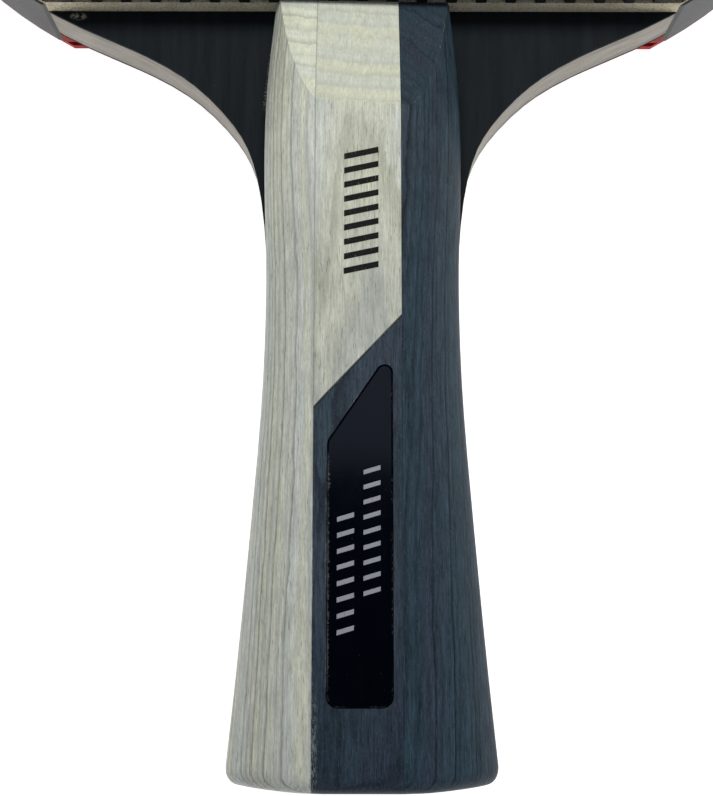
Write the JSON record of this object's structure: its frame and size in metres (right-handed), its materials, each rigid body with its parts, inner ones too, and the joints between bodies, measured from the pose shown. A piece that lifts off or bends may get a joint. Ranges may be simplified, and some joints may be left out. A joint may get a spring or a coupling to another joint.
{
  "type": "table tennis paddle",
  "caption": "Table tennis paddle with a flared two-tone wooden handle, inlaid badge, ply blade, and a black and a red rubber on sponge.",
  "frame": {"origin": "centre of the paddle's bounding box, on the blade's middle plane", "axes": "+Y from the butt to the top of the head, +Z out of the front face (the side with the badge), +X to the right seen from the front"},
  "size_m": [0.1506, 0.2572, 0.0232],
  "materials": {
    "core_wood": "matte",
    "medial_wood": "matte",
    "dyed_face_wood": "satin",
    "light_wood": "satin",
    "dark_wood": "satin",
    "badge_gloss": "gloss",
    "cream_sponge": "matte",
    "black_rubber": "satin",
    "red_sponge": "matte",
    "red_rubber": "satin",
    "grey_tape": "matte"
  },
  "bodies": {
    "root": {"core_ply": "core_wood", "front_medial_ply": "medial_wood", "back_medial_ply": "medial_wood", "front_face_ply": "dyed_face_wood", "back_face_ply": "dyed_face_wood", "front_light_side_block": "light_wood", "front_light_centre_block": "light_wood", "front_dark_centre_block": "dark_wood", "front_dark_side_block": "dark_wood", "back_light_side_block": "light_wood", "back_light_centre_block": "light_wood", "back_dark_centre_block": "dark_wood", "back_dark_side_block": "dark_wood", "handle_badge": "badge_gloss", "front_sponge": "cream_sponge", "front_topsheet": "black_rubber", "back_sponge": "red_sponge", "back_topsheet": "red_rubber", "edge_tape": "grey_tape"}
  },
  "joints": []
}
